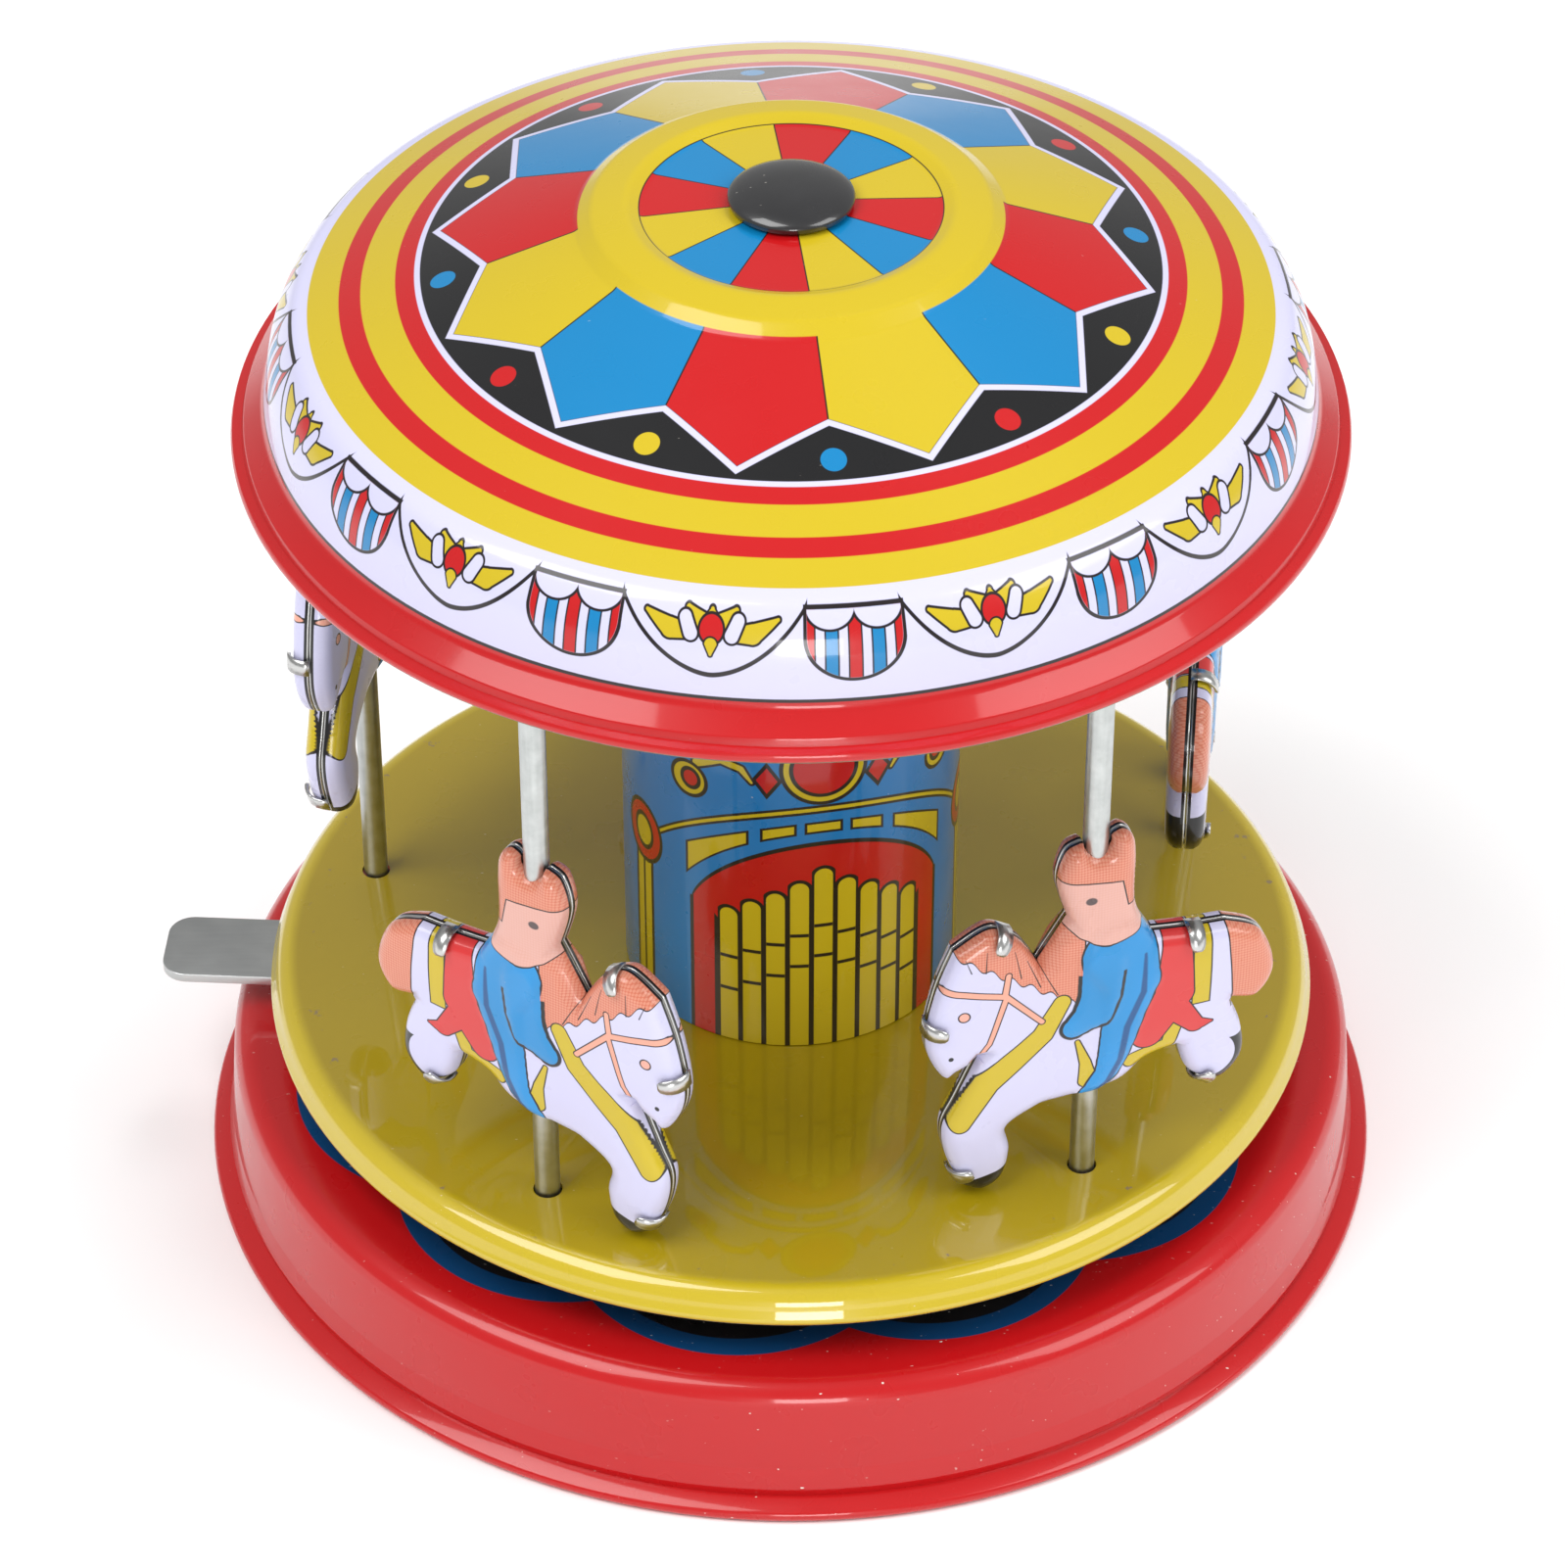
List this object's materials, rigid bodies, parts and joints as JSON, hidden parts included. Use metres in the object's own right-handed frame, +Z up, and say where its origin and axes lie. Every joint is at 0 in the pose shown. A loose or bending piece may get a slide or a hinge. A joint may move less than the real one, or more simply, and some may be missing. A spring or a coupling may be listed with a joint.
{
  "type": "wind-up tin carousel toy",
  "caption": "Clockwork tin merry-go-round: a printed roof, column and riders on poles turn on a round base with a flat winding arm.",
  "frame": {"origin": "centre of the bottom plate's underside, on the spindle's axis", "axes": "+Z up along the spindle, -X side carries the winding arm, -Y is the front"},
  "size_m": [0.1162, 0.112, 0.1068],
  "materials": {
    "red_tin": "gloss printed tin, red",
    "yellow_tin": "gloss printed tin, mustard yellow",
    "blue_tin": "gloss printed tin, blue with a red and yellow organ front",
    "white_tin": "gloss printed tin, white horse and blue rider",
    "black_tin": "gloss black",
    "galvanised": "dull galvanised sheet and tube",
    "steel": "bare mild steel",
    "blued_steel": "blued spring steel",
    "brass": "stamped brass"
  },
  "bodies": {
    "base": {"base_pan": "red_tin", "bottom_plate": "galvanised", "lower_movement_plate": "steel", "upper_movement_plate": "steel", "movement_pillar_1": "steel", "movement_pillar_2": "steel", "movement_pillar_3": "steel", "movement_spacer_1": "steel", "movement_spacer_2": "steel", "movement_spacer_3": "steel", "click_stud": "steel", "click_spring": "blued_steel"},
    "carousel": {"spindle": "steel", "drive_pinion": "brass", "platform_hub": "steel", "platform": "yellow_tin", "column": "blue_tin", "pole_1": "galvanised", "pole_2": "galvanised", "pole_3": "galvanised", "pole_4": "galvanised", "pole_5": "galvanised", "rider_1_outer_half": "white_tin", "rider_1_inner_half": "white_tin", "rider_2_outer_half": "white_tin", "rider_2_inner_half": "white_tin", "rider_3_outer_half": "white_tin", "rider_3_inner_half": "white_tin", "rider_4_outer_half": "white_tin", "rider_4_inner_half": "white_tin", "rider_5_outer_half": "white_tin", "rider_5_inner_half": "white_tin", "roof": "red_tin", "roof_cap": "black_tin"},
    "winder": {"winding_arm": "galvanised", "winding_tube": "steel", "ratchet_wheel": "steel", "mainspring": "blued_steel"},
    "click": {"click": "steel"},
    "great_wheel": {"great_wheel": "brass"},
    "intermediate": {"intermediate_arbor": "steel", "intermediate_wheel": "brass", "intermediate_pinion": "steel"},
    "governor": {"governor_arbor": "steel", "governor_pinion": "steel", "governor_fly": "steel"}
  },
  "joints": [
    {"name": "carousel_spin", "type": "hinge", "parent": "base", "child": "carousel", "pos_m": [0, 0, 0.02], "axis": [0, 0, 1], "continuous": true},
    {"name": "winder_spin", "type": "hinge", "parent": "base", "child": "winder", "pos_m": [0, 0, 0.017], "axis": [0, 0, 1], "continuous": true},
    {"name": "click_lift", "type": "hinge", "parent": "base", "child": "click", "pos_m": [-0.00295, -0.01088, 0.0117], "axis": [0, 0, -1], "range_deg": [0, 9], "stiffness_Nm_per_rad": 0.002},
    {"name": "great_wheel_spin", "type": "hinge", "parent": "base", "child": "great_wheel", "pos_m": [0, 0, 0.0055], "axis": [0, 0, 1], "continuous": true},
    {"name": "intermediate_spin", "type": "hinge", "parent": "base", "child": "intermediate", "pos_m": [0.0098, 0.01697, 0.005], "axis": [0, 0, 1], "continuous": true},
    {"name": "governor_spin", "type": "hinge", "parent": "base", "child": "governor", "pos_m": [-0.00536, 0.02572, 0.005], "axis": [0, 0, 1], "continuous": true}
  ],
  "couplings": [
    {"joint": "great_wheel_spin", "follows": "carousel_spin", "ratio": 0.10909},
    {"joint": "intermediate_spin", "follows": "carousel_spin", "ratio": -0.4},
    {"joint": "governor_spin", "follows": "carousel_spin", "ratio": 1.6}
  ]
}
